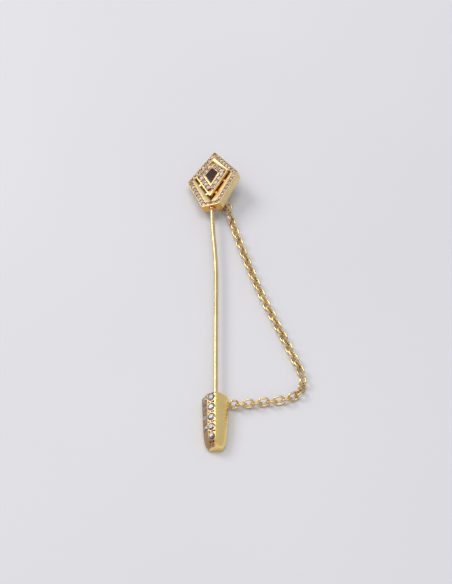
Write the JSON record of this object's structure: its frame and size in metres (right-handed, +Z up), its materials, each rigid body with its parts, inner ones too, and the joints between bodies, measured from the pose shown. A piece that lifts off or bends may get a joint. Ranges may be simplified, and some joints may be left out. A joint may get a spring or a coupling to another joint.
{
  "type": "stick pin with safety chain",
  "caption": "Stick pin with a two-tier kite-shaped stone-set head, a straight pin, a slide-on stone-set end clasp and a cable safety chain from head to clasp.",
  "frame": {"origin": "middle of the footprint, on the surface that the piece lies on", "axes": "+Z up from that surface, +Y along the straight pin from the clasp to the head, +X towards the safety chain"},
  "size_m": [0.0222, 0.0704, 0.0054],
  "materials": {
    "gold_plate": "polished gold plate over brass",
    "pale_stone": "clear cut stones, slightly champagne",
    "dark_stone": "dark brown flat-cut stone, polished"
  },
  "bodies": {
    "head_and_pin": {"head_outer_frame": "gold_plate", "head_inner_frame": "gold_plate", "head_centre_stone": "dark_stone", "head_outer_stones_left": "pale_stone", "head_outer_stones_right": "pale_stone", "head_inner_stones_left": "pale_stone", "head_inner_stones_right": "pale_stone", "head_loop": "gold_plate", "pin_stem": "gold_plate", "pin_collar": "gold_plate"},
    "clasp_grip": {"clasp_grip_sleeve": "gold_plate"},
    "clasp": {"clasp_shell": "gold_plate", "clasp_upper_stones": "pale_stone", "clasp_lower_stones": "pale_stone", "clasp_ring": "gold_plate"},
    "jump_ring": {"jump_ring": "gold_plate"},
    "chain_long_link": {"chain_long_link": "gold_plate"},
    "chain_link_01": {"chain_link_01": "gold_plate"},
    "chain_link_02": {"chain_link_02": "gold_plate"},
    "chain_link_03": {"chain_link_03": "gold_plate"},
    "chain_link_04": {"chain_link_04": "gold_plate"},
    "chain_link_05": {"chain_link_05": "gold_plate"},
    "chain_link_06": {"chain_link_06": "gold_plate"},
    "chain_link_07": {"chain_link_07": "gold_plate"},
    "chain_link_08": {"chain_link_08": "gold_plate"},
    "chain_link_09": {"chain_link_09": "gold_plate"},
    "chain_link_10": {"chain_link_10": "gold_plate"},
    "chain_link_11": {"chain_link_11": "gold_plate"},
    "chain_link_12": {"chain_link_12": "gold_plate"},
    "chain_link_13": {"chain_link_13": "gold_plate"},
    "chain_link_14": {"chain_link_14": "gold_plate"},
    "chain_link_15": {"chain_link_15": "gold_plate"},
    "chain_link_16": {"chain_link_16": "gold_plate"},
    "chain_link_17": {"chain_link_17": "gold_plate"},
    "chain_link_18": {"chain_link_18": "gold_plate"},
    "chain_link_19": {"chain_link_19": "gold_plate"},
    "chain_link_20": {"chain_link_20": "gold_plate"},
    "chain_link_21": {"chain_link_21": "gold_plate"},
    "chain_link_22": {"chain_link_22": "gold_plate"},
    "chain_link_23": {"chain_link_23": "gold_plate"},
    "chain_link_24": {"chain_link_24": "gold_plate"},
    "chain_link_25": {"chain_link_25": "gold_plate"},
    "chain_link_26": {"chain_link_26": "gold_plate"},
    "chain_link_27": {"chain_link_27": "gold_plate"},
    "chain_link_28": {"chain_link_28": "gold_plate"},
    "chain_link_29": {"chain_link_29": "gold_plate"},
    "chain_link_40": {"chain_link_40": "gold_plate"},
    "chain_link_39": {"chain_link_39": "gold_plate"},
    "chain_link_38": {"chain_link_38": "gold_plate"},
    "chain_link_37": {"chain_link_37": "gold_plate"},
    "chain_link_36": {"chain_link_36": "gold_plate"},
    "chain_link_35": {"chain_link_35": "gold_plate"},
    "chain_link_34": {"chain_link_34": "gold_plate"},
    "chain_link_33": {"chain_link_33": "gold_plate"},
    "chain_link_32": {"chain_link_32": "gold_plate"},
    "chain_link_31": {"chain_link_31": "gold_plate"},
    "chain_link_30": {"chain_link_30": "gold_plate"}
  },
  "joints": [
    {"name": "clasp_slide", "type": "slide", "parent": "head_and_pin", "child": "clasp_grip", "axis": [0, -1, 0], "range_m": [0, 0.012]},
    {"name": "clasp_turn", "type": "hinge", "parent": "clasp_grip", "child": "clasp", "pos_m": [-0.00525, -0.02478, 0.00185], "axis": [0, 1, 0], "continuous": true},
    {"name": "jump_ring_swing", "type": "hinge", "parent": "head_and_pin", "child": "jump_ring", "pos_m": [-0.00333, 0.02246, 0.00119], "axis": [0, 0, 1], "range_deg": [-21, 30]},
    {"name": "chain_long_link_swing", "type": "hinge", "parent": "jump_ring", "child": "chain_long_link", "pos_m": [-0.00301, 0.02133, 0.00091], "axis": [0, 0, 1], "range_deg": [-13, 30]},
    {"name": "chain_link_01_swing", "type": "hinge", "parent": "chain_long_link", "child": "chain_link_01", "pos_m": [-0.0023, 0.01878, 0.00069], "axis": [0, 0, -1], "range_deg": [-30, 30]},
    {"name": "chain_link_02_swing", "type": "hinge", "parent": "chain_link_01", "child": "chain_link_02", "pos_m": [-0.00196, 0.01746, 0.00069], "axis": [0, 0, -1], "range_deg": [-30, 30]},
    {"name": "chain_link_03_swing", "type": "hinge", "parent": "chain_link_02", "child": "chain_link_03", "pos_m": [-0.00162, 0.01613, 0.00069], "axis": [0, 0, 1], "range_deg": [-30, 30]},
    {"name": "chain_link_04_swing", "type": "hinge", "parent": "chain_link_03", "child": "chain_link_04", "pos_m": [-0.00128, 0.0148, 0.00069], "axis": [0, 0, 1], "range_deg": [-30, 30]},
    {"name": "chain_link_05_swing", "type": "hinge", "parent": "chain_link_04", "child": "chain_link_05", "pos_m": [-0.00092, 0.01348, 0.00069], "axis": [0, 0, -1], "range_deg": [-30, 30]},
    {"name": "chain_link_06_swing", "type": "hinge", "parent": "chain_link_05", "child": "chain_link_06", "pos_m": [-0.00055, 0.01215, 0.00069], "axis": [0, 0, -1], "range_deg": [-30, 30]},
    {"name": "chain_link_07_swing", "type": "hinge", "parent": "chain_link_06", "child": "chain_link_07", "pos_m": [-0.00017, 0.01084, 0.00069], "axis": [0, 0, 1], "range_deg": [-30, 30]},
    {"name": "chain_link_08_swing", "type": "hinge", "parent": "chain_link_07", "child": "chain_link_08", "pos_m": [0.00022, 0.00952, 0.00069], "axis": [0, 0, 1], "range_deg": [-30, 30]},
    {"name": "chain_link_09_swing", "type": "hinge", "parent": "chain_link_08", "child": "chain_link_09", "pos_m": [0.00062, 0.00821, 0.00069], "axis": [0, 0, -1], "range_deg": [-30, 30]},
    {"name": "chain_link_10_swing", "type": "hinge", "parent": "chain_link_09", "child": "chain_link_10", "pos_m": [0.00101, 0.0069, 0.00069], "axis": [0, 0, -1], "range_deg": [-30, 30]},
    {"name": "chain_link_11_swing", "type": "hinge", "parent": "chain_link_10", "child": "chain_link_11", "pos_m": [0.00141, 0.00558, 0.00069], "axis": [0, 0, 1], "range_deg": [-30, 30]},
    {"name": "chain_link_12_swing", "type": "hinge", "parent": "chain_link_11", "child": "chain_link_12", "pos_m": [0.00181, 0.00427, 0.00069], "axis": [0, 0, 1], "range_deg": [-30, 30]},
    {"name": "chain_link_13_swing", "type": "hinge", "parent": "chain_link_12", "child": "chain_link_13", "pos_m": [0.00223, 0.00297, 0.00069], "axis": [0, 0, -1], "range_deg": [-30, 30]},
    {"name": "chain_link_14_swing", "type": "hinge", "parent": "chain_link_13", "child": "chain_link_14", "pos_m": [0.00266, 0.00166, 0.00069], "axis": [0, 0, -1], "range_deg": [-30, 30]},
    {"name": "chain_link_15_swing", "type": "hinge", "parent": "chain_link_14", "child": "chain_link_15", "pos_m": [0.0031, 0.00037, 0.00069], "axis": [0, 0, 1], "range_deg": [-30, 30]},
    {"name": "chain_link_16_swing", "type": "hinge", "parent": "chain_link_15", "child": "chain_link_16", "pos_m": [0.00355, -0.00093, 0.00069], "axis": [0, 0, 1], "range_deg": [-30, 30]},
    {"name": "chain_link_17_swing", "type": "hinge", "parent": "chain_link_16", "child": "chain_link_17", "pos_m": [0.00402, -0.00222, 0.00069], "axis": [0, 0, -1], "range_deg": [-30, 30]},
    {"name": "chain_link_18_swing", "type": "hinge", "parent": "chain_link_17", "child": "chain_link_18", "pos_m": [0.0045, -0.0035, 0.00069], "axis": [0, 0, -1], "range_deg": [-30, 30]},
    {"name": "chain_link_19_swing", "type": "hinge", "parent": "chain_link_18", "child": "chain_link_19", "pos_m": [0.00499, -0.00478, 0.00069], "axis": [0, 0, 1], "range_deg": [-30, 30]},
    {"name": "chain_link_20_swing", "type": "hinge", "parent": "chain_link_19", "child": "chain_link_20", "pos_m": [0.00548, -0.00606, 0.00069], "axis": [0, 0, 1], "range_deg": [-30, 30]},
    {"name": "chain_link_21_swing", "type": "hinge", "parent": "chain_link_20", "child": "chain_link_21", "pos_m": [0.00597, -0.00734, 0.00069], "axis": [0, 0, -1], "range_deg": [-30, 30]},
    {"name": "chain_link_22_swing", "type": "hinge", "parent": "chain_link_21", "child": "chain_link_22", "pos_m": [0.00647, -0.00862, 0.00069], "axis": [0, 0, -1], "range_deg": [-30, 30]},
    {"name": "chain_link_23_swing", "type": "hinge", "parent": "chain_link_22", "child": "chain_link_23", "pos_m": [0.00696, -0.0099, 0.00069], "axis": [0, 0, 1], "range_deg": [-30, 30]},
    {"name": "chain_link_24_swing", "type": "hinge", "parent": "chain_link_23", "child": "chain_link_24", "pos_m": [0.00745, -0.01118, 0.00069], "axis": [0, 0, 1], "range_deg": [-30, 30]},
    {"name": "chain_link_25_swing", "type": "hinge", "parent": "chain_link_24", "child": "chain_link_25", "pos_m": [0.00793, -0.01247, 0.00069], "axis": [0, 0, -1], "range_deg": [-30, 30]},
    {"name": "chain_link_26_swing", "type": "hinge", "parent": "chain_link_25", "child": "chain_link_26", "pos_m": [0.0084, -0.01375, 0.00069], "axis": [0, 0, -1], "range_deg": [-30, 30]},
    {"name": "chain_link_27_swing", "type": "hinge", "parent": "chain_link_26", "child": "chain_link_27", "pos_m": [0.00888, -0.01504, 0.00069], "axis": [0, 0, 1], "range_deg": [-30, 30]},
    {"name": "chain_link_28_swing", "type": "hinge", "parent": "chain_link_27", "child": "chain_link_28", "pos_m": [0.00938, -0.01632, 0.00069], "axis": [0, 0, 1], "range_deg": [-30, 30]},
    {"name": "chain_link_29_swing", "type": "hinge", "parent": "chain_link_28", "child": "chain_link_29", "pos_m": [0.00987, -0.0176, 0.00069], "axis": [0, 0, -1], "range_deg": [-30, 30]},
    {"name": "chain_link_40_swing", "type": "hinge", "parent": "clasp", "child": "chain_link_40", "pos_m": [-0.00144, -0.02591, 0.00096], "axis": [0, 0, 1], "range_deg": [-30, 0]},
    {"name": "chain_link_39_swing", "type": "hinge", "parent": "chain_link_40", "child": "chain_link_39", "pos_m": [-0.00009, -0.0257, 0.00088], "axis": [0, 0, 1], "range_deg": [-30, 0]},
    {"name": "chain_link_38_swing", "type": "hinge", "parent": "chain_link_39", "child": "chain_link_38", "pos_m": [0.00127, -0.02549, 0.00079], "axis": [0, 0, -1], "range_deg": [0, 30]},
    {"name": "chain_link_37_swing", "type": "hinge", "parent": "chain_link_38", "child": "chain_link_37", "pos_m": [0.00262, -0.02527, 0.00071], "axis": [0, 0, -1], "range_deg": [0, 30]},
    {"name": "chain_link_36_swing", "type": "hinge", "parent": "chain_link_37", "child": "chain_link_36", "pos_m": [0.00397, -0.02507, 0.00067], "axis": [0, 0, 1], "range_deg": [-30, 0]},
    {"name": "chain_link_35_swing", "type": "hinge", "parent": "chain_link_36", "child": "chain_link_35", "pos_m": [0.00533, -0.0249, 0.00067], "axis": [0, 0, 1], "range_deg": [-30, 0]},
    {"name": "chain_link_34_swing", "type": "hinge", "parent": "chain_link_35", "child": "chain_link_34", "pos_m": [0.00669, -0.02469, 0.00069], "axis": [0, 0, -1], "range_deg": [0, 30]},
    {"name": "chain_link_33_swing", "type": "hinge", "parent": "chain_link_34", "child": "chain_link_33", "pos_m": [0.00801, -0.02431, 0.00069], "axis": [0, 0, -1], "range_deg": [0, 30]},
    {"name": "chain_link_32_swing", "type": "hinge", "parent": "chain_link_33", "child": "chain_link_32", "pos_m": [0.0092, -0.02362, 0.00069], "axis": [0, 0, 1], "range_deg": [-30, 14]},
    {"name": "chain_link_31_swing", "type": "hinge", "parent": "chain_link_32", "child": "chain_link_31", "pos_m": [0.00999, -0.02251, 0.00069], "axis": [0, 0, 1], "range_deg": [-30, 22]},
    {"name": "chain_link_30_swing", "type": "hinge", "parent": "chain_link_31", "child": "chain_link_30", "pos_m": [0.01042, -0.0212, 0.00069], "axis": [0, 0, -1], "range_deg": [-22, 30]}
  ]
}
